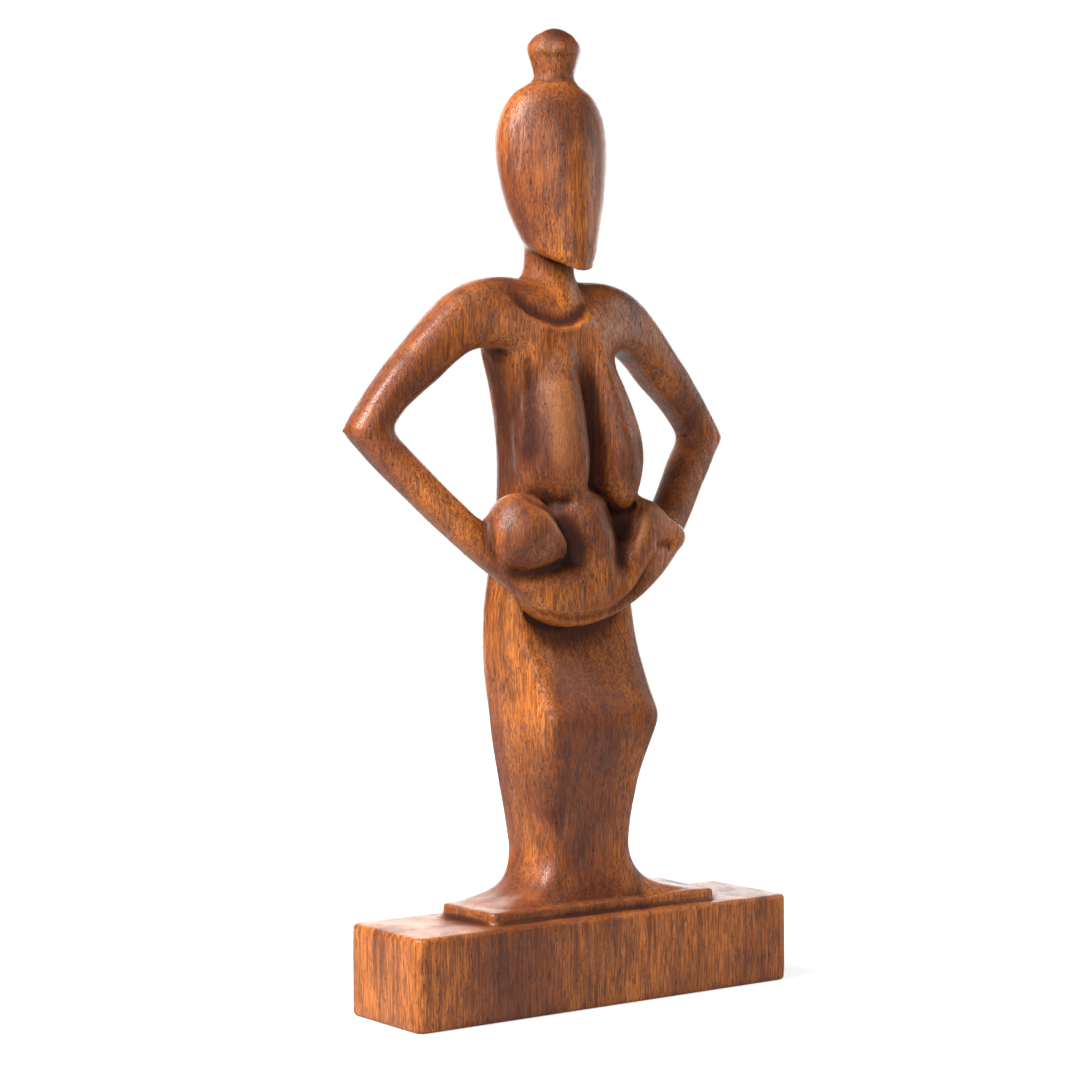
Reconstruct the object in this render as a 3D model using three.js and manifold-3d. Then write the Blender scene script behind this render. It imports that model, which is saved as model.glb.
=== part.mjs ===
// A carved hardwood figure of a mother who holds her child before her, with the low block that it stands on.
// Everything is one carving, so it is one solid. Millimetres, +Z up, the figure faces -Y.
// The origin is the middle of the block's underside.

import * as THREE from 'three';
import { mergeVertices } from 'three/addons/utils/BufferGeometryUtils.js';
import { LoftGeometry } from 'three/addons/geometries/LoftGeometry.js';
import Module from 'manifold-3d';

// Driving dimensions
const FIGURE_HEIGHT = 300;
const BLOCK_LENGTH = 143;
const BLOCK_DEPTH = 37.4;
const BLOCK_HEIGHT = 27.8;
const BLOCK_CORNER = 2.2;
const BLOCK_BEVEL = 1;
const PLATE_TOP = 31.6;
const PLATE_LEFT = -41.5;
const PLATE_RIGHT = 45;
const PLATE_FRONT = -13.8;
const PLATE_BACK = 14.5;
const PLATE_CORNER = 1.5;
const PLATE_BEVEL = 0.7;
const SINK = 1.5;
const UPPER_X = -5.5;
const BREAST_BACK = 1;
const HEAD_X = -5;
const NECK_Y = 7.9;
const KNOT_Y = 5;
const KNOT_FACETS = 8;
const CHIN_HEIGHT = 224;
const CHIN_Y = -9.5;
const JAW_SLOPE_DEGREES = 26.6;
const JAW_CUT = 60;

// Fineness of the facets
const CORNER_STEPS = 3;
const CORNER_SHARE = 0.2;
const STEPS = 2;
const BROAD_RING = 20;
const LIMB_RING = 20;
const SLIM_RING = 14;

const WOOD_COLOUR = 0x8a4a1e;

const wasm = await Module();
wasm.setup();

// One closed solid from a closed geometry.
function toSolid(geometry) {
  const bare = new THREE.BufferGeometry().copy(geometry);
  bare.deleteAttribute('normal');
  bare.deleteAttribute('uv');
  const merged = mergeVertices(bare, 1e-3);
  return new wasm.Manifold(new wasm.Mesh({
    numProp: 3,
    vertProperties: new Float32Array(merged.attributes.position.array),
    triVerts: new Uint32Array(merged.index.array),
  }));
}

// A smooth curve through rows of numbers, each row led by its place along the form.
// It passes through every row, and `steps` rows fill each interval.
function fair(rows, steps) {
  const slope = (k, c) => {
    const before = rows[Math.max(k - 1, 0)];
    const after = rows[Math.min(k + 1, rows.length - 1)];
    return (after[c] - before[c]) / (after[0] - before[0]);
  };
  const out = [];
  for (let k = 0; k < rows.length - 1; k += 1) {
    const a = rows[k];
    const b = rows[k + 1];
    const span = b[0] - a[0];
    for (let i = 0; i < steps; i += 1) {
      const t = i / steps;
      const t2 = t * t;
      const t3 = t2 * t;
      out.push(a.map((value, c) => (2 * t3 - 3 * t2 + 1) * value
        + (t3 - 2 * t2 + t) * span * slope(k, c)
        + (3 * t2 - 2 * t3) * b[c]
        + (t3 - t2) * span * slope(k + 1, c)));
    }
  }
  out.push(rows[rows.length - 1]);
  return out;
}

function loft(rings) {
  return toSolid(new LoftGeometry(rings, { closed: true, capStart: true, capEnd: true }));
}

// Signed power, the building block of a rounded outline.
const bend = (value, power) => Math.sign(value) * Math.abs(value) ** power;

// A rounded ring: `place(u, v)` sets a point of the unit outline in space.
// A squareness of 2 is an ellipse, more is boxier and less is more pointed.
function ring(points, frontSquareness, backSquareness, place) {
  return Array.from({ length: points }, (_, i) => {
    const angle = ((i + 0.5) / points) * Math.PI * 2;
    const power = 2 / (Math.sin(angle) < 0 ? frontSquareness : backSquareness);
    return place(bend(Math.cos(angle), power), bend(Math.sin(angle), power));
  });
}

// A form built up along Z from rows of [z, left, right, front, middle, back].
function uprightForm(rows, frontSquareness, backSquareness, points) {
  return loft(fair(rows, STEPS).map(([z, left, right, front, middle, back]) => ring(
    points,
    frontSquareness,
    backSquareness,
    (u, v) => new THREE.Vector3(
      (left + right) / 2 + ((right - left) / 2) * u,
      middle + (v < 0 ? middle - front : back - middle) * v,
      z,
    ),
  )));
}

// A ring through rounded corners. Each rounding takes a share of the sides that meet at it.
function corneredRing(corners) {
  return corners.flatMap((corner, i) => {
    const before = corners[(i + corners.length - 1) % corners.length];
    const after = corners[(i + 1) % corners.length];
    const curve = new THREE.QuadraticBezierCurve3(
      corner.clone().lerp(before, CORNER_SHARE),
      corner,
      corner.clone().lerp(after, CORNER_SHARE),
    );
    return curve.getPoints(CORNER_STEPS - 1);
  });
}

function roundedPlate(left, right, front, back, bottom, top, corner, bevel) {
  const shape = new THREE.Shape();
  const l = left + bevel;
  const r = right - bevel;
  const f = front + bevel;
  const b = back - bevel;
  shape.moveTo(l + corner, f);
  shape.lineTo(r - corner, f);
  shape.absarc(r - corner, f + corner, corner, -Math.PI / 2, 0);
  shape.lineTo(r, b - corner);
  shape.absarc(r - corner, b - corner, corner, 0, Math.PI / 2);
  shape.lineTo(l + corner, b);
  shape.absarc(l + corner, b - corner, corner, Math.PI / 2, Math.PI);
  shape.lineTo(l, f + corner);
  shape.absarc(l + corner, f + corner, corner, Math.PI, Math.PI * 1.5);
  const geometry = new THREE.ExtrudeGeometry(shape, {
    depth: top - bottom - 2 * bevel,
    bevelEnabled: true,
    bevelThickness: bevel,
    bevelSize: bevel,
    bevelSegments: 2,
    curveSegments: 4,
  });
  geometry.translate(0, 0, bottom + bevel);
  return toSolid(geometry);
}

// The block, and the thin hem plate on it.
function block() {
  const half = BLOCK_LENGTH / 2;
  return roundedPlate(
    -half, half, -BLOCK_DEPTH / 2, BLOCK_DEPTH / 2, 0, BLOCK_HEIGHT, BLOCK_CORNER, BLOCK_BEVEL,
  );
}

function hemPlate() {
  return roundedPlate(
    PLATE_LEFT, PLATE_RIGHT, PLATE_FRONT, PLATE_BACK, BLOCK_HEIGHT - SINK, PLATE_TOP,
    PLATE_CORNER, PLATE_BEVEL,
  );
}

// Skirt and trunk. Each row has the half width and depth of the back corners, of the ridges down the
// sides and of the front corners, then how far forward the middle of the front comes:
// [z, middle x, back half, back y, side half, side y, front half, front y, front middle y].
function trunk() {
  const rows = [
    [PLATE_TOP - SINK, 1.5, 39.6, 13.4, 41, 2, 38.5, -11.6, -12],
    [PLATE_TOP + 0.4, 1.3, 36.6, 13.4, 38, 2, 35.5, -11.4, -11.8],
    [34, 0.8, 27.2, 13.4, 27.8, 2, 26, -10.6, -11],
    [37.5, 0.4, 21, 13.4, 21.2, 2, 19.4, -9.7, -10.1],
    [42, 0, 18.2, 13.8, 18.2, 2, 16.2, -9, -9.4],
    [48, 0, 17.4, 14.2, 17.4, 2.5, 15, -8.6, -9],
    [67.5, 0, 20, 15.8, 20.6, 3.5, 17.6, -10.2, -10.6],
    [78, 1, 22.6, 16.9, 23.1, 3.5, 20, -12, -12.4],
    [86.5, 2, 24.6, 17.5, 25.4, 3, 21.5, -13.4, -13.1],
    [89, 2, 24.8, 17.6, 25.6, 2.8, 21.5, -12.9, -12.5],
    [94, 1.5, 25, 17.9, 25.6, 2.4, 20.9, -10.8, -10.2],
    [102, 0.5, 25, 18.2, 25.2, 1.8, 21.3, -7, -5.8],
    [112, -0.8, 24.2, 18, 24.4, 0.8, 21.9, -3.4, -2.2],
    [122, -1.7, 23.2, 17.6, 23.4, 0.2, 22.2, -2.2, -1],
    [154, -1.5, 19.4, 16, 20.8, 0.6, 17, -4, -4.6],
    [172, -2.3, 18.9, 16, 20.2, 0, 16.6, -4.8, -5.6],
    [190, -4, 20, 16.6, 20, 0.2, 15.4, -6, -7],
    [200, -5, 22, 17, 20, 0.2, 14.6, -6.4, -7.4],
    [205, -5.3, 22.4, 17, 20, 0, 13.6, -6.4, -7.2],
    [208.5, -5.4, 22, 16.8, 19.6, 0.6, 12.8, -5.4, -6.2],
    [212.5, -5.4, 20, 16.4, 18, 2.4, 12, -2.8, -3.4],
    [217, -5.4, 16, 15.6, 14.4, 5, 10, 1, 0.6],
    [221, -5.4, 10, 14, 9, 8.4, 6, 6, 5.8],
  ];
  return loft(fair(rows, STEPS).map(([z, x, backHalf, backY, sideHalf, sideY, frontHalf, frontY, midY]) => {
    const corners = [
      [0, midY],
      [frontHalf, frontY],
      [sideHalf, sideY],
      [backHalf, backY],
      [0, backY + 1],
      [-backHalf, backY],
      [-sideHalf, sideY],
      [-frontHalf, frontY],
    ].map(([dx, y]) => new THREE.Vector3(x + dx, y, z));
    return corneredRing(corners);
  }));
}

// A long breast, fuller and further forward toward its lower end, with its crest near the cleft.
// Rows are [z, middle x, inner, crest, outer, front], with the three widths counted from the middle.
// `spread` widens the upper rows, where the breast runs broadly into the chest.
function breast(side, spread) {
  const rows = [
    [150.6, 0.5, 9, 10.8, 12.6, -9.6],
    [152, 0.4, 6.2, 10.6, 15.2, -12.2],
    [155, 0.2, 2.8, 10, 18.4, -14.4],
    [161, 0, 0.8, 9.3, 21.6, -15.9],
    [169, 0, 0.5, 8.8, 23.2, -15.8],
    [176, -0.3, 0.5, 8.2, 22.8, -14.4],
    [183, -0.9, 0.7, 7.4, 20.8, -12.8],
    [190, -1.6, 1, 6.8, 18.2, -11],
    [197, -2.6, 1.4, 6.4, 15.2, -9.2],
    [204, -3.4, 3, 6.4, 12, -7.2],
  ];
  return loft(fair(rows.map((row, k) => [...row, (spread * k) / rows.length]), STEPS).map(
    ([z, x, inner, crest, outer, front, extra]) => {
      const points = ring(LIMB_RING, 1.75, 2, (u, v) => new THREE.Vector3(
        x + side * (crest + (u < 0 ? crest - inner : outer + extra - crest) * u),
        BREAST_BACK + (v < 0 ? BREAST_BACK - front : BREAST_BACK) * v,
        z,
      ));
      return side < 0 ? points.reverse() : points;
    },
  ));
}

// An arm from beside the neck over the shoulder to the sharp elbow, and forward to the hand.
// Rows are [place, outer s, outer z, inner s, inner z, y, half depth, lean], with s counted from the
// middle. The lean sets the outer edge back from the inner one, which slopes the shoulder's front.
function arm(side) {
  const elbow = [6, 71.4, 174.6, 57.4, 175, 10.8, 6.3, 0];
  const upper = fair([
    [0, 4, 221.6, 4, 196, 5.8, 10.8, 4.6],
    [1, 14, 222.8, 13, 197, 6.2, 10.4, 4.2],
    [2, 25, 221.8, 21.5, 200.4, 7.2, 9.2, 2.2],
    [3, 36.6, 216, 31.4, 199, 8.8, 8, 0.6],
    [4, 50.6, 201.8, 41.8, 190.2, 10, 7.1, 0],
    [5, 63, 187.6, 52.2, 181.8, 10.8, 6.5, 0],
    elbow,
  ], STEPS);
  const fore = fair([
    elbow,
    [7, 64, 165.4, 51.6, 168, 8.2, 6.3, 0],
    [8, 51.2, 151, 40, 154.6, 1.6, 6.1, 0],
    [9, 39.9, 139.4, 29, 143.6, -3.6, 6.1, 0],
    [10, 28, 129, 19, 135, -7.8, 5.4, 0],
    [11, 18.4, 123, 12, 130, -9.2, 4.4, 0],
  ], STEPS);
  const rings = [...upper, ...fore.slice(1)].map(([, outerS, outerZ, innerS, innerZ, y, half, lean]) => ring(
    LIMB_RING,
    3.2,
    3.2,
    (u, v) => new THREE.Vector3(
      UPPER_X + side * ((outerS + innerS) / 2 + ((outerS - innerS) / 2) * u),
      y + half * v + lean * u,
      (outerZ + innerZ) / 2 + ((outerZ - innerZ) / 2) * u,
    ),
  ));
  if (side > 0) {
    rings.forEach((points) => points.reverse());
  }
  return loft(rings);
}

// The neck flares into the scooped neckline, which drops toward the front.
// Rows are [z at the sides, drop at the front, half width, front, back].
function neck() {
  const rows = [
    [206, 9, 12.4, -6, 18],
    [218.4, 10.6, 12.8, -6.7, 18.2],
    [221.6, 7.8, 9.9, -3.8, 16.8],
    [225, 4, 8.3, -1.2, 16],
    [229, 1, 7.8, -0.2, 15.6],
    [236, 0, 7.8, 0, 15.6],
  ];
  return loft(fair(rows, STEPS).map(([z, drop, half, front, back]) => ring(
    LIMB_RING,
    2,
    2,
    (u, v) => new THREE.Vector3(
      HEAD_X + half * u,
      NECK_Y + (v < 0 ? NECK_Y - front : back - NECK_Y) * v,
      z + drop * Math.min(v, 0),
    ),
  )));
}

// The head is a plain upright egg with a soft keel down the front and a jaw cut flat beneath.
// Rows are [z, half width, front, middle, back].
function head() {
  const rows = [
    [220, 4.2, -9.4, -6, 0],
    [225, 7.8, -10.1, -2, 6],
    [231, 11, -10.4, 1, 11.4],
    [237, 13.4, -10.3, 3, 14.6],
    [246, 16.4, -9.9, 4.6, 18],
    [256, 18.5, -9.6, 5.6, 20],
    [265, 19, -9.2, 6, 20.6],
    [272, 17.8, -8.2, 6, 19.8],
    [278, 14.6, -5.8, 5.6, 17.2],
    [281.6, 10.6, -2.8, 5.4, 13.8],
    [284, 5.6, 0.8, 5.2, 9.8],
  ];
  const skull = uprightForm(rows.map(([z, half, front, middle, back]) => [
    z, HEAD_X - half, HEAD_X + half, front, middle, back,
  ]), 1.8, 2.1, BROAD_RING);
  const below = new THREE.BoxGeometry(JAW_CUT, JAW_CUT, JAW_CUT);
  below.translate(0, 0, -JAW_CUT / 2);
  below.rotateX(THREE.MathUtils.degToRad(JAW_SLOPE_DEGREES));
  below.translate(HEAD_X, CHIN_Y, CHIN_HEIGHT);
  return skull.subtract(toSolid(below));
}

// The knot of hair: soft facets that narrow downward, under a dome. Rows are [z, radius].
function topknot() {
  const rows = [
    [281, 6.8],
    [285.4, 6.2],
    [289.6, 7.2],
    [293, 8.2],
    [294.6, 8],
    [297.4, 6],
    [299.3, 3],
    [FIGURE_HEIGHT, 0.8],
  ];
  return loft(rows.map(([z, radius]) => {
    const reach = radius / Math.cos(Math.PI / KNOT_FACETS);
    return corneredRing(Array.from({ length: KNOT_FACETS }, (_, i) => {
      const angle = ((i + 0.5) / KNOT_FACETS) * Math.PI * 2;
      return new THREE.Vector3(HEAD_X + reach * Math.cos(angle), KNOT_Y + reach * Math.sin(angle), z);
    }));
  }));
}

// An egg with its narrow end toward +X before it is tilted.
function egg(centre, radii, taper, tiltDegrees) {
  const geometry = new THREE.SphereGeometry(1, LIMB_RING, SLIM_RING);
  geometry.rotateX(Math.PI / 2);
  const { position } = geometry.attributes;
  for (let i = 0; i < position.count; i += 1) {
    const share = 1 - taper * position.getX(i);
    position.setY(i, position.getY(i) * share);
    position.setZ(i, position.getZ(i) * share);
  }
  geometry.scale(...radii);
  geometry.rotateY(THREE.MathUtils.degToRad(tiltDegrees));
  geometry.translate(...centre);
  return toSolid(geometry);
}

// A form along a path in the XZ plane, for the child's back, its foot and the hands beneath it.
// Rows are [place, x, z, half thickness across the path, y, half depth].
function sweptForm(rows, steps, points) {
  const path = fair(rows, steps);
  return loft(path.map(([, x, z, half, y, halfDepth], k) => {
    const before = path[Math.max(k - 1, 0)];
    const after = path[Math.min(k + 1, path.length - 1)];
    const along = new THREE.Vector2(after[1] - before[1], after[2] - before[2]).normalize();
    return ring(points, 2.2, 2.2, (u, v) => new THREE.Vector3(
      x - along.y * half * v,
      y + halfDepth * u,
      z + along.x * half * v,
    ));
  }));
}

// The child: an egg of a head, a curled back, two raised forms with a deep groove between, and a foot.
// Rows of the far form are [z, groove x, ridge x, front, outer x].
function child() {
  const childHead = egg([-24.4, -9.2, 142.4], [16, 10.3, 11.5], 0.42, 22);
  const back = sweptForm([
    [0, -34, 132, 2.6, -8, 3.4],
    [1, -26, 129.6, 5.4, -9, 6],
    [2, -14, 126.8, 9, -9, 8],
    [3, -1, 128.4, 9.6, -8.4, 9],
    [4, 10, 132.6, 9, -8, 9],
    [5, 19.5, 139.4, 7.6, -7.6, 8],
    [6, 25.5, 145.4, 6, -7, 7],
  ], STEPS, LIMB_RING);
  const nearHump = uprightForm([
    [124, -9, 10.4, -16.4, -10, 0],
    [132, -11, 10.4, -17.4, -10, 0],
    [140, -14, 9.4, -18.2, -9.2, 0],
    [147, -17, 8, -17.6, -8.4, 0],
    [152.6, -16, 6, -15.8, -7.8, 0],
    [156, -11.4, 2.4, -13.2, -7.6, -2],
    [157.8, -7.6, -2, -10.4, -7.6, -5],
  ], 1.7, 2, LIMB_RING);
  const farHump = loft(fair([
    [124, 4, 8.4, -15, 15.6],
    [131, 5, 9.6, -16.4, 20.6],
    [138, 6.4, 12.4, -16.8, 25.8],
    [145, 8, 15.8, -16, 29.4],
    [150.4, 10, 18.2, -13.8, 28.2],
    [153.4, 13.4, 19.4, -11.6, 25.4],
    [155.2, 15.4, 19, -9.8, 21.6],
  ], STEPS).map(([z, groove, ridge, front, outer]) => corneredRing([
    new THREE.Vector3(groove, 4, z),
    new THREE.Vector3(groove, -4, z),
    new THREE.Vector3(ridge, front, z),
    new THREE.Vector3(outer - 2, front + 1.4, z),
    new THREE.Vector3(outer, -6, z),
    new THREE.Vector3(outer - 3, 2, z),
  ])));
  const foot = sweptForm([
    [0, 21, 147.6, 3, -8.4, 4],
    [1, 26, 144, 5.4, -9.4, 5.6],
    [2, 31.8, 142.6, 4.4, -9, 5],
    [3, 35.6, 141.4, 1.4, -8.4, 2],
  ], STEPS, SLIM_RING);
  return [back, nearHump, farHump, foot].reduce((whole, piece) => whole.add(piece), childHead);
}

// The mother's hands run into one thin rim beneath the child.
function hands() {
  return sweptForm([
    [0, -29, 130.8, 3.2, -8, 4.4],
    [1, -22.6, 123.2, 3, -9.2, 6.8],
    [2, -13, 117.9, 2.6, -8.4, 8.8],
    [3, 1, 120.2, 2.4, -8.6, 9],
    [4, 12.5, 125.4, 2.5, -8.2, 8.4],
    [5, 22.4, 133, 3.2, -8.2, 6.8],
    [6, 29.5, 140.4, 4.2, -7.6, 4.8],
  ], STEPS, SLIM_RING);
}

const carving = [
  hemPlate(),
  trunk(),
  breast(-1, 3.5),
  breast(1, 0),
  arm(-1),
  arm(1),
  neck(),
  head(),
  topknot(),
  child(),
  hands(),
].reduce((whole, piece) => whole.add(piece), block());

function toMesh(solid, name, material) {
  const { vertProperties, triVerts } = solid.getMesh();
  const geometry = new THREE.BufferGeometry();
  geometry.setAttribute('position', new THREE.BufferAttribute(vertProperties, 3));
  geometry.setIndex(new THREE.BufferAttribute(triVerts, 1));
  geometry.computeVertexNormals();
  const mesh = new THREE.Mesh(geometry, material);
  mesh.name = name;
  return mesh;
}

const stainedWood = new THREE.MeshStandardMaterial({ color: WOOD_COLOUR, roughness: 0.45, metalness: 0 });
const sculpture = new THREE.Group();
sculpture.add(toMesh(carving, 'mother_and_child', stainedWood));

export default sculpture;
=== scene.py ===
"""A hardwood carving of a mother holding her child, darkened by staining, on its block, in soft studio light.
"""

import math

import bpy
import numpy as np
import openvdb
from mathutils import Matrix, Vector


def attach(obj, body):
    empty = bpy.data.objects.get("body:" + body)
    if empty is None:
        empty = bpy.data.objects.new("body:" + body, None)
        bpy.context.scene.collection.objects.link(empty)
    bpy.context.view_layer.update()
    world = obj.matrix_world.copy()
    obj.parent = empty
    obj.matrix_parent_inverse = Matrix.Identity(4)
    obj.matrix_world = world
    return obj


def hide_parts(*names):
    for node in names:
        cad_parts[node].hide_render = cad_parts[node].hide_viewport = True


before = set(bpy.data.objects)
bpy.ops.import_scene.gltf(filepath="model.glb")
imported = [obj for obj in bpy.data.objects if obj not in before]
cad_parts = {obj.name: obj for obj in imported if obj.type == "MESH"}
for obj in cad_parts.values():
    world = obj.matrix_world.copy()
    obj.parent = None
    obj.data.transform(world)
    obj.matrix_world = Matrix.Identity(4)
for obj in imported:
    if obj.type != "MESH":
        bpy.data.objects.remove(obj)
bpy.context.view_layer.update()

MM = 0.001

# The carved mesh, in millimetres
VOXEL = 0.55
BAND = 9
MERGE = 0.03
BLUR_REACH = 2.7
SMOOTHING = 2.0
EDGE_SMOOTHING = 0.5
FLAT_FULLNESS = 0.46
EDGE_LOW = 0.09
EDGE_HIGH = 0.17
PLATE_TOP = 32.0
PLATE_FADE = 4
KNOT_BOTTOM = 286.0
KNOT_FADE = 2
UNEVEN_SEED = 7
UNEVEN_HEIGHT = 0.16
UNEVEN_SIZE = (7.0, 7.0, 12.0)
UNEVEN_LOW = 1.5
UNEVEN_HIGH = 6
STROKE_PIXELS = 1.2
STROKE_TAPER = 5
STROKE_END = 0.15
STROKE_REACH = 4
RAY_STEP = 0.35
CREASE_REACH = 1.6
HOLLOW_REACH = 5.5
NEAREST = 640
FARTHEST = 860

# The floor, in metres: it fades out between these distances from the object, and takes this grey
FLOOR_CLEAR = 0.7
FLOOR_RADIUS = 1.2
FLOOR_GREY = (0.4, 0.4, 0.4, 1)
FLOOR_ROUGHNESS = 0.8

# How brightly the floor and the room show in the camera, and how much they light the object
FLOOR_SHOWN = 0.7
FLOOR_GLOW = 0.08
ROOM_GLOW = 0.06

# The softboxes, all aimed at the object's middle: place and size in metres, and power in watts
MIDDLE = (0, 0, 0.15)
SOFTBOXES = {
    "left_softbox": ((-0.8, 0.04, 0.88), (0.6, 0.8), 38),
    "front_softbox": ((-0.5, -0.9, 0.55), (0.9, 0.7), 6),
    "right_softbox": ((0.85, -0.3, 0.4), (0.3, 0.8), 3),
    "backdrop": ((0.75, 1.0, 0.35), (1.8, 0.9), 16),
}

# The camera, in metres and radians
CAMERA_PLACE = (-0.4721, -0.6137, 0.1536)
CAMERA_YAW = math.radians(36.73)
CAMERA_PITCH = math.radians(0.87)
CAMERA_LENS = 83.33
SENSOR_WIDTH = 36.0
FRAME_PIXELS = 1080
FOCAL_PIXELS = FRAME_PIXELS * CAMERA_LENS / SENSOR_WIDTH
LOOK = np.array([
    math.sin(CAMERA_YAW) * math.cos(CAMERA_PITCH),
    math.cos(CAMERA_YAW) * math.cos(CAMERA_PITCH),
    -math.sin(CAMERA_PITCH),
])
RIGHT = np.array([math.cos(CAMERA_YAW), -math.sin(CAMERA_YAW), 0])
UP = np.cross(RIGHT, LOOK)


def gaussian(field, sigma):
    """Blurs a 3-D field with a Gaussian of `sigma` millimetres."""
    sigma /= VOXEL
    reach = int(math.ceil(BLUR_REACH * sigma))
    weights = np.exp(-0.5 * (np.arange(-reach, reach + 1) / sigma) ** 2)
    weights /= weights.sum()
    for axis in range(3):
        pad = [(0, 0)] * 3
        pad[axis] = (reach, reach)
        wide = np.pad(field, pad, mode="edge")
        total = np.zeros_like(field)
        part = [slice(None)] * 3
        for k, weight in enumerate(weights):
            part[axis] = slice(k, k + field.shape[axis])
            total += np.float32(weight) * wide[tuple(part)]
        field = total
    return field


def sample(field, points):
    """Reads a 3-D field between its voxels."""
    low = np.clip(np.floor(points).astype(int), 0, np.array(field.shape) - 2)
    t = points - low
    total = 0
    for corner in np.ndindex(2, 2, 2):
        share = np.prod(np.where(corner, t, 1 - t), axis=1)
        i = low + corner
        total = total + share * field[i[:, 0], i[:, 1], i[:, 2]]
    return total


def smoothstep(value, low, high):
    t = np.clip((value - low) / (high - low), 0, 1)
    return t * t * (3 - 2 * t)


class Block:
    """A solid as signed distances in millimetres on a grid of voxels."""

    def __init__(self, node):
        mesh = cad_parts[node].data
        mesh.calc_loop_triangles()
        points = np.array([v.co for v in mesh.vertices]) / MM
        triangles = np.array([t.vertices for t in mesh.loop_triangles], dtype=np.uint32)
        low = np.floor(points.min(0) / VOXEL) - BAND - 2
        high = np.ceil(points.max(0) / VOXEL) + BAND + 2
        grid = openvdb.FloatGrid.createLevelSetFromPolygons(
            (points / VOXEL - low).astype(np.float32),
            triangles=triangles,
            transform=openvdb.createLinearTransform(voxelSize=1.0),
            halfWidth=BAND,
        )
        self.field = np.zeros((high - low).astype(int), np.float32)
        grid.copyToArray(self.field)
        self.field *= VOXEL
        self.origin = low * VOXEL
        self.cuts = np.zeros_like(self.field)
        self.stain_and_shade = np.zeros_like(self.field)

    def axis(self, k):
        return (self.origin[k] + np.arange(self.field.shape[k]) * VOXEL).astype(np.float32)

    def fullness(self, reach):
        """The share of wood around each voxel: over a half in a hollow, under a half on an edge."""
        return gaussian(np.clip(0.5 - self.field / VOXEL, 0, 1), reach)

    def fair(self):
        """Takes the facets out of the broad forms, and leaves creases, edges and the block crisp."""
        crisp = gaussian(self.field, EDGE_SMOOTHING)
        soft = gaussian(self.field, SMOOTHING)
        soft = 2 * soft - gaussian(soft, SMOOTHING)
        keep = smoothstep(np.abs(self.fullness(SMOOTHING) - FLAT_FULLNESS), EDGE_LOW, EDGE_HIGH)
        z = self.axis(2)
        below = 1 - smoothstep(z, PLATE_TOP, PLATE_TOP + PLATE_FADE)
        above = smoothstep(z, KNOT_BOTTOM - KNOT_FADE, KNOT_BOTTOM)
        keep = np.maximum(keep, np.maximum(below, above))
        self.field = soft + keep * (crisp - soft)

    def roughen(self):
        """The slight unevenness that the knife leaves."""
        random = np.random.default_rng(UNEVEN_SEED)
        span = np.array(self.field.shape) * VOXEL
        bumps = random.uniform(-1, 1, (span / UNEVEN_SIZE).astype(int) + 3).astype(np.float32)
        for k in range(3):
            place = np.arange(self.field.shape[k]) * VOXEL / UNEVEN_SIZE[k]
            low = place.astype(int)
            share = smoothstep(place - low, 0, 1).astype(np.float32)
            shape = [1, 1, 1]
            shape[k] = len(low)
            share = share.reshape(shape)
            bumps = bumps.take(low, axis=k) * (1 - share) + bumps.take(low + 1, axis=k) * share
        height = UNEVEN_HEIGHT * smoothstep(self.axis(2), UNEVEN_LOW, UNEVEN_HIGH)
        self.field += bumps * height.astype(np.float32)

    def seen_at(self, pixels):
        """The points of the wood that the camera sees at pixels of its frame."""
        across = pixels[:, :1] - FRAME_PIXELS / 2
        down = pixels[:, 1:] - FRAME_PIXELS / 2
        rays = LOOK + (across * RIGHT - down * UP) / FOCAL_PIXELS
        away = np.arange(NEAREST, FARTHEST, RAY_STEP)[:, None]
        last = np.array(self.field.shape) - 1.001
        found = []
        for ray in rays:
            points = np.array(CAMERA_PLACE) / MM + away * ray
            depth = sample(self.field, np.clip((points - self.origin) / VOXEL, 0, last))
            k = int(np.argmax(depth < 0))
            share = depth[k - 1] / (depth[k - 1] - depth[k])
            found.append(points[k - 1] + share * (points[k] - points[k - 1]))
        return np.array(found)

    def stroke(self, path, width, depth):
        """Cuts a crease along a path of pixels, shallower toward both ends, or a ridge at a negative depth."""
        path = np.array(path, dtype=float)
        lengths = np.linalg.norm(np.diff(path, axis=0), axis=1)
        places = np.concatenate([[0], np.cumsum(lengths)])
        along = np.arange(0, places[-1], STROKE_PIXELS)
        pixels = np.stack([np.interp(along, places, path[:, k]) for k in range(2)], axis=1)
        share = along / places[-1]
        deep = abs(depth) * np.minimum(1, STROKE_TAPER * np.minimum(share, 1 - share) + STROKE_END)
        cut = np.zeros_like(self.field)
        for point, height in zip(self.seen_at(pixels), deep):
            low = np.maximum(((point - self.origin) / VOXEL - STROKE_REACH * width / VOXEL).astype(int), 0)
            high = low + int(2 * STROKE_REACH * width / VOXEL) + 2
            part = tuple(slice(a, b) for a, b in zip(low, high))
            x, y, z = (self.axis(k)[part[k]] - point[k] for k in range(3))
            away = (x[:, None, None] ** 2 + y[None, :, None] ** 2 + z[None, None, :] ** 2) / width ** 2
            away = np.sqrt(away) if depth > 0 else away
            cut[part] = np.maximum(cut[part], height * np.exp(-away))
        self.cuts += math.copysign(1, depth) * cut

    def stain_and_shade_spot(self, pixel, radius, strength):
        """Darkens the wood softly around the point that the camera sees at a pixel."""
        middle = self.seen_at(np.array([pixel], dtype=float))[0]
        x, y, z = (np.exp(-((self.axis(k) - middle[k]) / radius) ** 2).astype(np.float32) for k in range(3))
        spot = strength * x[:, None, None] * y[None, :, None] * z[None, None, :]
        self.stain_and_shade += (1 - self.stain_and_shade) * spot

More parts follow.
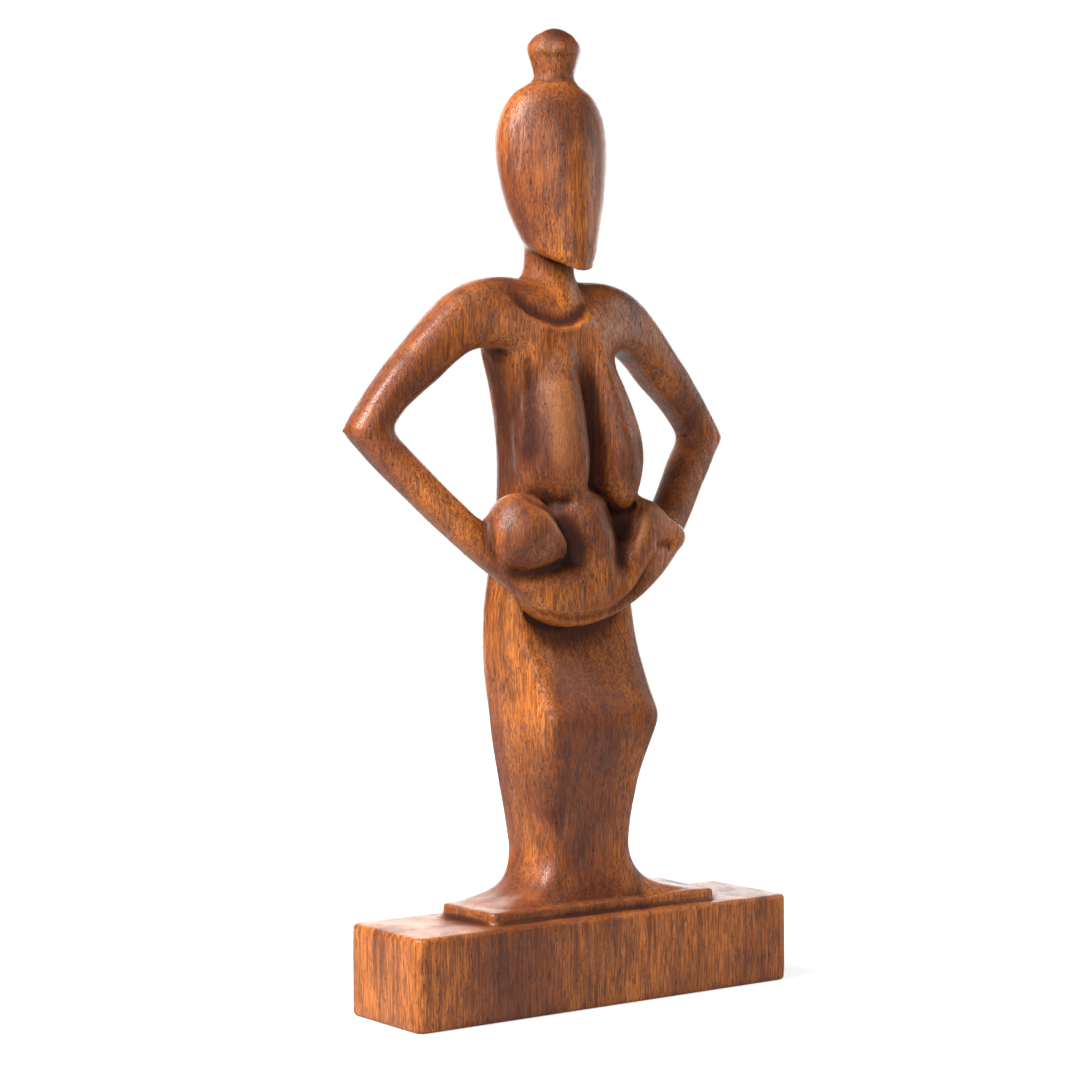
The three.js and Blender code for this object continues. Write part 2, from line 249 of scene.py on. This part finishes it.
    def mesh(self, name):
        grid = openvdb.FloatGrid()
        grid.background = BAND * VOXEL
        grid.copyFromArray(self.field)
        points, triangles, quads = grid.convertToPolygons(0.0, MERGE)
        points = points.astype(float)
        mesh = bpy.data.meshes.new(name)
        faces = triangles.tolist() + quads.tolist()
        mesh.from_pydata((points * VOXEL + self.origin) * MM, [], faces)
        mesh.validate()
        mesh.polygons.foreach_set("use_smooth", [True] * len(mesh.polygons))
        mesh.update()
        slope = np.stack([
            sample(self.field, points + step) - sample(self.field, points - step)
            for step in np.eye(3)
        ], axis=1)
        slope /= np.linalg.norm(slope, axis=1, keepdims=True)
        mesh.normals_split_custom_set_from_vertices(slope)
        # Attributes for the material: crease, hollow and cut drive painted shade and the ridges' painted
        # highlight; the fourth marks darker spots, partly stain and partly painted shade
        layers = {
            "crease": self.fullness(CREASE_REACH),
            "hollow": self.fullness(HOLLOW_REACH),
            "cut": self.cuts,
            "stain_and_shade": self.stain_and_shade,
        }
        for layer, values in layers.items():
            attribute = mesh.attributes.new(layer, "FLOAT", "POINT")
            attribute.data.foreach_set("value", sample(values, points).astype(np.float32))
        return mesh


# Paths of creases and ridges, in the camera's pixels
NECK_SCOOP = ((512, 290), (520, 300), (532, 310), (546, 317), (560, 321), (573, 319), (581, 312), (585, 300))
NECK_LIP = ((505, 294), (515, 307), (529, 318), (544, 326), (560, 331), (576, 329), (589, 321), (595, 304))
TORSO_RIDGE = ((518, 350), (520, 375), (522, 400), (523, 428))
TORSO_VALLEY = ((525, 352), (528, 375), (530, 405), (532, 440), (528, 472))
BREAST_CREST = ((556, 378), (561, 410), (564, 440), (563, 468))
HEAD_CRACK = ((520, 122), (519, 146), (517, 170))
KNOT_RIDGE = ((531, 52), (541, 49), (553, 51), (564, 48), (575, 50))
KNOT_FOOT = ((535, 77), (546, 79), (560, 79), (573, 77))
UNDER_CHILD_HEAD = ((506, 570), (520, 576), (536, 575), (553, 569), (569, 561))
HEAD_TIP = ((541, 510), (552, 524), (562, 540), (568, 553))
HEAD_AND_ARM = ((490, 513), (490, 530), (491, 548), (497, 566))
HEAD_AND_BACK = ((553, 514), (561, 524), (568, 535), (573, 550))
DEEP_GROOVE = ((606, 504), (613, 514), (618, 530), (622, 549), (625, 571))
BACK_AND_HANDS = (
    (530, 606), (541, 614), (562, 619), (585, 618), (608, 612), (623, 604), (636, 592), (656, 553),
)
HUMP_VALLEY = ((562, 516), (569, 528), (576, 542), (583, 557))
HEEL = ((659, 546), (664, 543), (672, 545))
LEFT_BREAST = ((521, 492), (532, 499), (545, 507), (555, 509), (566, 502), (576, 493))
BACK_RIM = ((575, 612), (597, 609), (614, 602), (630, 588), (643, 569), (651, 551))
FAR_RIDGE = ((641, 498), (648, 508), (645, 525), (639, 545), (631, 564))
SKIRT_RIDGE = ((510, 590), (511, 615), (513, 640), (516, 670))

# Creases that the knife has cut: the path, how fast the crease falls away in millimetres, and its
# depth in millimetres. A negative depth is a ridge that the knife has left.
CREASES = (
    (NECK_SCOOP, 1.5, 3.2),
    (NECK_LIP, 1.2, -0.9),
    (TORSO_RIDGE, 1.4, -0.9),
    (TORSO_VALLEY, 2.6, 1.9),
    (BREAST_CREST, 5.0, -1.2),
    (HEAD_CRACK, 0.6, 0.9),
    (KNOT_RIDGE, 1.1, -1.0),
    (KNOT_FOOT, 0.9, 1.2),
    (UNDER_CHILD_HEAD, 1.4, 2.6),
    (HEAD_TIP, 1.8, -1.3),
    (HEAD_AND_ARM, 0.9, 2.2),
    (HEAD_AND_BACK, 1.2, 2.0),
    (HUMP_VALLEY, 3.0, 2.2),
    (DEEP_GROOVE, 2.6, 3.2),
    (BACK_AND_HANDS, 0.75, 2.8),
    (HEEL, 1.2, 1.8),
    (LEFT_BREAST, 0.9, 2.2),
    (BACK_RIM, 1.2, -0.8),
    (FAR_RIDGE, 1.8, -1.2),
    (SKIRT_RIDGE, 1.4, -1.0),
)

# Darker spots on the wood: the camera's pixel, the radius in millimetres and the strength. The spots on the
# topknot, the knots, the knee and the shin are stain. The spots in the cleft, hollows and grooves, in the
# corner by the neck, inside the elbow and on the forearm are painted shade. The spots on the left breast and
# the near hump are partly stain and partly painted shade.
STAINS_AND_SHADE = {
    "topknot": ((556, 33), 6.5, 0.95),
    "crown": ((560, 103), 9, 0.5),
    "crown_left": ((536, 108), 8, 0.35),
    "crown_right": ((589, 113), 8, 0.4),
    "neck_left": ((497, 290), 10, 0.5),
    "shoulder": ((470, 300), 9, 0.3),
    "upper_arm_knot": ((404, 357), 3.5, 0.6),
    "cleft": ((592, 385), 7, 0.45),
    "left_breast_top": ((543, 385), 10, 0.55),
    "left_breast_middle": ((546, 425), 9, 0.45),
    "left_breast_tip": ((559, 455), 8, 0.55),
    "left_breast_side": ((536, 440), 12, 0.30),
    "right_breast_knot": ((640, 448), 4, 0.6),
    "right_breast_tip": ((622, 470), 8, 0.35),
    "near_hump": ((582, 520), 10, 0.55),
    "child_crown": ((522, 503), 7, 0.45),
    "head_hollow": ((565, 548), 8, 0.5),
    "hump_groove": ((626, 540), 8, 0.5),
    "far_hump": ((649, 514), 7, 0.4),
    "elbow_inside": ((688, 440), 8, 0.6),
    "forearm_upper": ((674, 472), 9, 0.75),
    "forearm_lower": ((664, 500), 8, 0.75),
    "knee": ((530, 755), 9, 0.4),
    "shin": ((524, 792), 8, 0.25),
    "shin_knot": ((554, 817), 4, 0.6),
}

carving = Block("mother_and_child")
carving.fair()
carving.roughen()
for path, width, depth in CREASES:
    carving.stroke(path, width, depth)
# Darker spots, partly stain and partly painted shade
for pixel, radius, strength in STAINS_AND_SHADE.values():
    carving.stain_and_shade_spot(pixel, radius, strength)
carving.field += carving.cuts


class Nodes:
    """Short calls for building the nodes of a material or a world."""

    def __init__(self, name, kind=bpy.data.materials):
        self.owner = kind.new(name)
        self.owner.use_nodes = True
        self.tree = self.owner.node_tree
        self.tree.nodes.clear()

    def add(self, kind, **settings):
        node = self.tree.nodes.new(kind)
        for key, value in settings.items():
            setattr(node, key, value)
        return node

    def link(self, out, into):
        self.tree.links.new(out, into)

    def scaled(self, scale):
        coordinates = self.add("ShaderNodeTexCoord")
        mapping = self.add("ShaderNodeMapping")
        mapping.inputs["Scale"].default_value = scale
        self.link(coordinates.outputs["Object"], mapping.inputs["Vector"])
        return mapping.outputs["Vector"]

    def noise(self, scale, detail=3.0, roughness=0.5, distortion=0.0):
        node = self.add("ShaderNodeTexNoise")
        node.inputs["Scale"].default_value = 1.0
        node.inputs["Detail"].default_value = detail
        node.inputs["Roughness"].default_value = roughness
        node.inputs["Distortion"].default_value = distortion
        self.link(self.scaled(scale), node.inputs["Vector"])
        return node.outputs["Fac"]

    def band(self, value, low, high, bottom=0.0, top=1.0):
        node = self.add("ShaderNodeMapRange", interpolation_type="SMOOTHSTEP")
        node.inputs["From Min"].default_value = low
        node.inputs["From Max"].default_value = high
        node.inputs["To Min"].default_value = bottom
        node.inputs["To Max"].default_value = top
        self.link(value, node.inputs["Value"])
        return node.outputs["Result"]

    def mix(self, share, a, b, blend="MIX"):
        node = self.add("ShaderNodeMix", data_type="RGBA", blend_type=blend)
        for value, socket in ((share, 0), (a, 6), (b, 7)):
            if isinstance(value, bpy.types.NodeSocket):
                self.link(value, node.inputs[socket])
            else:
                node.inputs[socket].default_value = value
        return node.outputs[2]

    def math(self, operation, a, b):
        node = self.add("ShaderNodeMath", operation=operation)
        for value, socket in ((a, 0), (b, 1)):
            if isinstance(value, bpy.types.NodeSocket):
                self.link(value, node.inputs[socket])
            else:
                node.inputs[socket].default_value = value
        return node.outputs["Value"]

    def seen(self, for_light, for_camera):
        """One value for the light that bounces, and another for what the camera sees."""
        path = self.add("ShaderNodeLightPath")
        value = self.add("ShaderNodeMapRange")
        value.inputs["To Min"].default_value = for_light
        value.inputs["To Max"].default_value = for_camera
        self.link(path.outputs["Is Camera Ray"], value.inputs["Value"])
        return value.outputs["Result"]

    def attribute(self, name):
        return self.add("ShaderNodeAttribute", attribute_name=name).outputs["Fac"]


# The wood's colours, from the lightest wood to the painted shade of the deepest creases, and a painted
# highlight for the ridges
HONEY = (0.540, 0.155, 0.020, 1)
BROWN = (0.220, 0.052, 0.010, 1)
FIGURE_BROWN = (0.060, 0.014, 0.008, 1)
STREAK_BROWN = (0.055, 0.013, 0.007, 1)
FIBRE_BROWN = (0.060, 0.014, 0.007, 1)
FLECK_BROWN = (0.045, 0.011, 0.006, 1)
PORE_BLACK = (0.014, 0.005, 0.004, 1)
# Darker spots: stain in some, painted shade in others
STAIN_AND_SHADE_BROWN = (0.032, 0.008, 0.007, 1)
# Painted shade in the hollows
PAINTED_HOLLOW_SHADE = (0.038, 0.010, 0.007, 1)
# Painted shade in the creases
PAINTED_CREASE_SHADE = (0.022, 0.007, 0.005, 1)
# Painted shade along the cut creases
PAINTED_CUT_SHADE = (0.034, 0.010, 0.007, 1)
# Painted highlight along the ridges that the knife left
PAINTED_RIDGE_HIGHLIGHT = (0.750, 0.300, 0.080, 1)

# How many times each pattern of the grain repeats in a metre, across, across and upward
CLOUDS = (34, 34, 16)
FIGURE = (110, 110, 40)
STREAKS = (800, 800, 30)
FIBRES = (2500, 2500, 170)
FLECKS = (1900, 1900, 900)
PORES = (3400, 3400, 460)
PORE_GROUPS = (420, 420, 120)

# The finish: how strongly it reflects in the open and in the hollows, how rough it is, and the grain's relief
SHINE = 0.36
HOLLOW_SHINE = 0.12
ROUGHNESS = (0.30, 0.42)
HOLLOW_ROUGHNESS = 0.25
RELIEF_STRENGTH = 0.5
RELIEF_HEIGHT = 0.0003


def stained_wood():
    """Orange-brown hardwood with cloudy staining, upright grain and open pores; darker spots, partly staining
    and partly painted shade; painted shade in creases, hollows and cuts; a painted highlight on ridges.
    """
    n = Nodes("stained_wood")
    clouds = n.noise(CLOUDS, detail=3, roughness=0.55, distortion=0.3)
    figure = n.noise(FIGURE, detail=5, roughness=0.6, distortion=0.4)
    streaks = n.noise(STREAKS, detail=3, roughness=0.65)
    fibres = n.noise(FIBRES, detail=2, roughness=0.6)
    flecks = n.noise(FLECKS, detail=2, roughness=0.6)
    pores = n.band(n.noise(PORES, detail=1), 0.57, 0.66)
    sparse = n.band(n.noise(PORE_GROUPS, detail=2), 0.36, 0.58)
    pore = n.math("MULTIPLY", pores, sparse)
    hollow = n.attribute("hollow")
    cut = n.attribute("cut")
    stain_and_shade = n.attribute("stain_and_shade")
    base = n.mix(n.band(clouds, 0.34, 0.66), BROWN, HONEY)
    base = n.mix(n.band(figure, 0.46, 0.70, 0.0, 0.55), base, FIGURE_BROWN)
    base = n.mix(n.band(streaks, 0.47, 0.68, 0.0, 0.60), base, STREAK_BROWN)
    base = n.mix(n.band(fibres, 0.38, 0.62, 0.0, 0.60), base, FIBRE_BROWN)
    base = n.mix(n.band(flecks, 0.45, 0.68, 0.0, 0.20), base, FLECK_BROWN)
    base = n.mix(n.math("MULTIPLY", pore, 0.8), base, PORE_BLACK)
    # Darker spots, partly stain and partly painted shade
    base = n.mix(stain_and_shade, base, STAIN_AND_SHADE_BROWN)
    # Painted shade in the hollows, where the wood is fuller around
    base = n.mix(n.band(hollow, 0.495, 0.62, 0.0, 0.78), base, PAINTED_HOLLOW_SHADE)
    # Painted shade in the creases
    base = n.mix(n.band(n.attribute("crease"), 0.53, 0.66, 0.0, 0.8), base, PAINTED_CREASE_SHADE)
    # Painted shade along the creases that the strokes cut
    base = n.mix(n.band(cut, 0.15, 1.4, 0.0, 0.85), base, PAINTED_CUT_SHADE)
    # Painted highlight along the ridges that the strokes left
    base = n.mix(n.band(cut, -0.8, -0.2, 0.12, 0.0), base, PAINTED_RIDGE_HIGHLIGHT)
    matt = n.math("MAXIMUM", n.band(hollow, 0.49, 0.57), n.band(cut, 0.1, 0.8))
    matt = n.math("MAXIMUM", matt, stain_and_shade)
    rough = n.math("ADD", n.band(figure, 0.3, 0.7, *ROUGHNESS), n.math("MULTIPLY", matt, HOLLOW_ROUGHNESS))
    shader = n.add("ShaderNodeBsdfPrincipled")
    n.link(base, shader.inputs["Base Color"])
    n.link(n.band(matt, 0.0, 1.0, SHINE, HOLLOW_SHINE), shader.inputs["Specular IOR Level"])
    n.link(rough, shader.inputs["Roughness"])
    bump = n.add("ShaderNodeBump")
    bump.inputs["Strength"].default_value = RELIEF_STRENGTH
    bump.inputs["Distance"].default_value = RELIEF_HEIGHT
    height = n.math("SUBTRACT", n.math("MULTIPLY", fibres, 0.5), pore)
    n.link(height, bump.inputs["Height"])
    n.link(bump.outputs["Normal"], shader.inputs["Normal"])
    output = n.add("ShaderNodeOutputMaterial")
    n.link(shader.outputs["BSDF"], output.inputs["Surface"])
    return n.owner


def pale_paper():
    """White paper that the light has washed out, and that fades into the white room behind."""
    n = Nodes("pale_paper")
    shader = n.add("ShaderNodeBsdfPrincipled")
    shader.inputs["Base Color"].default_value = FLOOR_GREY
    shader.inputs["Roughness"].default_value = FLOOR_ROUGHNESS
    shader.inputs["Specular IOR Level"].default_value = 0.0
    shader.inputs["Emission Color"].default_value = (1, 1, 1, 1)
    n.link(n.seen(FLOOR_GLOW, FLOOR_SHOWN), shader.inputs["Emission Strength"])
    clear = n.add("ShaderNodeBsdfTransparent")
    coordinates = n.add("ShaderNodeTexCoord")
    length = n.add("ShaderNodeVectorMath", operation="LENGTH")
    n.link(coordinates.outputs["Object"], length.inputs[0])
    fade = n.add("ShaderNodeMixShader")
    n.link(n.band(length.outputs["Value"], FLOOR_CLEAR, FLOOR_RADIUS), fade.inputs["Fac"])
    n.link(shader.outputs["BSDF"], fade.inputs[1])
    n.link(clear.outputs["BSDF"], fade.inputs[2])
    output = n.add("ShaderNodeOutputMaterial")
    n.link(fade.outputs["Shader"], output.inputs["Surface"])
    return n.owner


def floor():
    """A pale floor that the object stands on."""
    bpy.ops.mesh.primitive_plane_add(size=2 * FLOOR_RADIUS, location=(0, 0, 0))
    plane = bpy.context.object
    plane.name = "floor"
    plane.data.materials.append(pale_paper())


def camera():
    data = bpy.data.cameras.new("camera")
    data.lens = CAMERA_LENS
    data.sensor_width = SENSOR_WIDTH
    data.clip_start = 0.01
    data.clip_end = 100.0
    eye = bpy.data.objects.new("camera", data)
    bpy.context.scene.collection.objects.link(eye)
    eye.location = CAMERA_PLACE
    eye.rotation_mode = "QUATERNION"
    eye.rotation_quaternion = Vector(LOOK).to_track_quat("-Z", "Y")
    bpy.context.scene.camera = eye


def softbox(name, place, size, watts):
    data = bpy.data.lights.new(name, "AREA")
    data.shape = "RECTANGLE"
    data.size = size[0]
    data.size_y = size[1]
    data.energy = watts
    lamp = bpy.data.objects.new(name, data)
    bpy.context.scene.collection.objects.link(lamp)
    lamp.location = place
    lamp.rotation_mode = "QUATERNION"
    aim = Vector(MIDDLE) - Vector(place)
    lamp.rotation_quaternion = aim.to_track_quat("-Z", "Y")


def studio():
    """A white room that lights the object less than it shows, three softboxes and a lit backdrop."""
    n = Nodes("studio", bpy.data.worlds)
    background = n.add("ShaderNodeBackground")
    n.link(n.seen(ROOM_GLOW, 1.0), background.inputs["Strength"])
    background.inputs["Color"].default_value = (1, 1, 1, 1)
    output = n.add("ShaderNodeOutputWorld")
    n.link(background.outputs["Background"], output.inputs["Surface"])
    bpy.context.scene.world = n.owner
    bpy.context.scene.view_settings.view_transform = "Standard"
    for name, (place, size, watts) in SOFTBOXES.items():
        softbox(name, place, size, watts)


camera()
piece = bpy.data.objects.new("mother_and_child_carving", carving.mesh("carving"))
bpy.context.scene.collection.objects.link(piece)
piece.data.materials.append(stained_wood())
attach(piece, "root")
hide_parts("mother_and_child")
floor()
studio()
